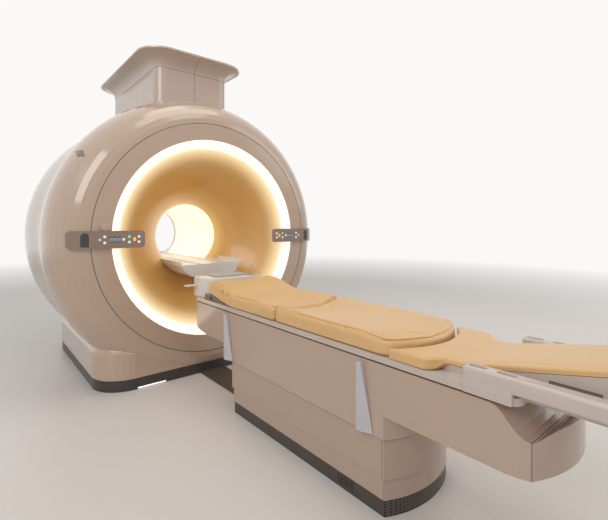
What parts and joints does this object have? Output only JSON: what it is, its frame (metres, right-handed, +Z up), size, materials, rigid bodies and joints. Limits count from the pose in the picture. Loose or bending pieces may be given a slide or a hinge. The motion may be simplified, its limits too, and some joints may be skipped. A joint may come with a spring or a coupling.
{
  "type": "mri scanner",
  "caption": "Magnetic resonance scanner with a round gantry, lit funnel to the bore, control panels on both sides, roof turret and a patient table that lifts and slides.",
  "frame": {"origin": "on the floor under the middle of the bore, at the centre of the magnet's anchor pattern", "axes": "+Z up, +Y from the table into the bore, +X to the right of someone who faces the bore"},
  "size_m": [2.3678, 4.785, 2.704],
  "materials": {
    "ivory_cover": "gloss, warm ivory",
    "grey_cover": "gloss, warm light grey",
    "funnel_gold": "satin, warm golden from the ring's light",
    "ring_glow": "translucent diffuser, lit",
    "bore_white": "satin white",
    "panel_taupe": "gloss taupe",
    "window_black": "smooth, dark",
    "button_white": "satin",
    "button_orange": "satin, lit",
    "button_green": "satin",
    "button_lilac": "satin",
    "kick_dark": "satin dark brown-grey",
    "vessel_paint": "satin",
    "copper_coil": "impregnated copper winding",
    "resin_coil": "cast resin",
    "steel": "brushed",
    "duct_brown": "satin",
    "fin_light": "gloss, cool light grey",
    "vinyl_peach": "soft coated fabric, peach",
    "wedge_brown": "coated foam, grey-brown",
    "coil_white": "satin white",
    "flex_grey": "coated soft foam, grey"
  },
  "bodies": {
    "gantry": {"vacuum_vessel": "vessel_paint", "cold_mass": "copper_coil", "gradient_coil": "resin_coil", "body_coil": "copper_coil", "bore_tube": "bore_white", "cold_head": "steel", "quench_pipe": "steel", "front_funnel": "funnel_gold", "funnel_panel": "funnel_gold", "light_ring": "ring_glow", "front_fascia": "ivory_cover", "front_cover": "ivory_cover", "lower_front_cover": "ivory_cover", "side_covers": "ivory_cover", "plinth_panels": "ivory_cover", "rear_cover": "ivory_cover", "rear_funnel": "ivory_cover", "gantry_kick": "kick_dark", "turret_walls": "ivory_cover", "turret_rims": "ivory_cover", "panel_left": "panel_taupe", "panel_right": "panel_taupe", "panel_windows": "window_black", "bore_bridge": "bore_white", "duct_cover": "duct_brown", "table_base": "steel", "table_kick": "kick_dark", "lower_skirt": "grey_cover"},
    "skirt": {"middle_skirt": "grey_cover"},
    "lift": {"beam": "ivory_cover", "beam_cap": "grey_cover", "beam_fins": "fin_light"},
    "tabletop": {"tabletop": "grey_cover", "foot_rail": "grey_cover", "head_mattress": "vinyl_peach", "middle_mattress": "vinyl_peach", "foot_mattress": "vinyl_peach", "head_wedge": "wedge_brown", "coil_base": "coil_white", "flex_coil": "flex_grey", "coil_cable": "coil_white", "coil_plug": "coil_white"},
    "left_button_1": {"left_button_1": "button_white"},
    "left_button_2": {"left_button_2": "button_white"},
    "left_button_3": {"left_button_3": "button_orange"},
    "left_button_4": {"left_button_4": "button_green"},
    "left_button_5": {"left_button_5": "button_white"},
    "left_button_6": {"left_button_6": "button_white"},
    "left_button_7": {"left_button_7": "button_white"},
    "left_button_8": {"left_button_8": "button_white"},
    "left_button_9": {"left_button_9": "button_lilac"},
    "right_button_1": {"right_button_1": "button_white"},
    "right_button_2": {"right_button_2": "button_white"},
    "right_button_3": {"right_button_3": "button_orange"},
    "right_button_4": {"right_button_4": "button_green"},
    "right_button_5": {"right_button_5": "button_white"},
    "right_button_6": {"right_button_6": "button_white"},
    "right_button_7": {"right_button_7": "button_white"},
    "right_button_8": {"right_button_8": "button_white"},
    "right_button_9": {"right_button_9": "button_lilac"}
  },
  "joints": [
    {"name": "table_lift", "type": "slide", "parent": "gantry", "child": "lift", "axis": [0, 0, 1], "range_m": [-0.16, 0.245]},
    {"name": "skirt_slide", "type": "slide", "parent": "gantry", "child": "skirt", "axis": [0, 0, 1], "range_m": [-0.08, 0.1225]},
    {"name": "tabletop_travel", "type": "slide", "parent": "lift", "child": "tabletop", "axis": [0, 1, 0], "range_m": [0, 0.14]},
    {"name": "left_button_1_press", "type": "slide", "parent": "gantry", "child": "left_button_1", "axis": [0, 1, 0], "range_m": [0, 0.0015], "stiffness_N_per_m": 400},
    {"name": "left_button_2_press", "type": "slide", "parent": "gantry", "child": "left_button_2", "axis": [0, 1, 0], "range_m": [0, 0.0015], "stiffness_N_per_m": 400},
    {"name": "left_button_3_press", "type": "slide", "parent": "gantry", "child": "left_button_3", "axis": [0, 1, 0], "range_m": [0, 0.0015], "stiffness_N_per_m": 400},
    {"name": "left_button_4_press", "type": "slide", "parent": "gantry", "child": "left_button_4", "axis": [0, 1, 0], "range_m": [0, 0.0015], "stiffness_N_per_m": 400},
    {"name": "left_button_5_press", "type": "slide", "parent": "gantry", "child": "left_button_5", "axis": [0, 1, 0], "range_m": [0, 0.0015], "stiffness_N_per_m": 400},
    {"name": "left_button_6_press", "type": "slide", "parent": "gantry", "child": "left_button_6", "axis": [0, 1, 0], "range_m": [0, 0.0015], "stiffness_N_per_m": 400},
    {"name": "left_button_7_press", "type": "slide", "parent": "gantry", "child": "left_button_7", "axis": [0, 1, 0], "range_m": [0, 0.0015], "stiffness_N_per_m": 400},
    {"name": "left_button_8_press", "type": "slide", "parent": "gantry", "child": "left_button_8", "axis": [0, 1, 0], "range_m": [0, 0.0015], "stiffness_N_per_m": 400},
    {"name": "left_button_9_press", "type": "slide", "parent": "gantry", "child": "left_button_9", "axis": [0, 1, 0], "range_m": [0, 0.0015], "stiffness_N_per_m": 400},
    {"name": "right_button_1_press", "type": "slide", "parent": "gantry", "child": "right_button_1", "axis": [0, 1, 0], "range_m": [0, 0.0015], "stiffness_N_per_m": 400},
    {"name": "right_button_2_press", "type": "slide", "parent": "gantry", "child": "right_button_2", "axis": [0, 1, 0], "range_m": [0, 0.0015], "stiffness_N_per_m": 400},
    {"name": "right_button_3_press", "type": "slide", "parent": "gantry", "child": "right_button_3", "axis": [0, 1, 0], "range_m": [0, 0.0015], "stiffness_N_per_m": 400},
    {"name": "right_button_4_press", "type": "slide", "parent": "gantry", "child": "right_button_4", "axis": [0, 1, 0], "range_m": [0, 0.0015], "stiffness_N_per_m": 400},
    {"name": "right_button_5_press", "type": "slide", "parent": "gantry", "child": "right_button_5", "axis": [0, 1, 0], "range_m": [0, 0.0015], "stiffness_N_per_m": 400},
    {"name": "right_button_6_press", "type": "slide", "parent": "gantry", "child": "right_button_6", "axis": [0, 1, 0], "range_m": [0, 0.0015], "stiffness_N_per_m": 400},
    {"name": "right_button_7_press", "type": "slide", "parent": "gantry", "child": "right_button_7", "axis": [0, 1, 0], "range_m": [0, 0.0015], "stiffness_N_per_m": 400},
    {"name": "right_button_8_press", "type": "slide", "parent": "gantry", "child": "right_button_8", "axis": [0, 1, 0], "range_m": [0, 0.0015], "stiffness_N_per_m": 400},
    {"name": "right_button_9_press", "type": "slide", "parent": "gantry", "child": "right_button_9", "axis": [0, 1, 0], "range_m": [0, 0.0015], "stiffness_N_per_m": 400}
  ],
  "couplings": [
    {"joint": "skirt_slide", "follows": "table_lift", "ratio": 0.5}
  ]
}
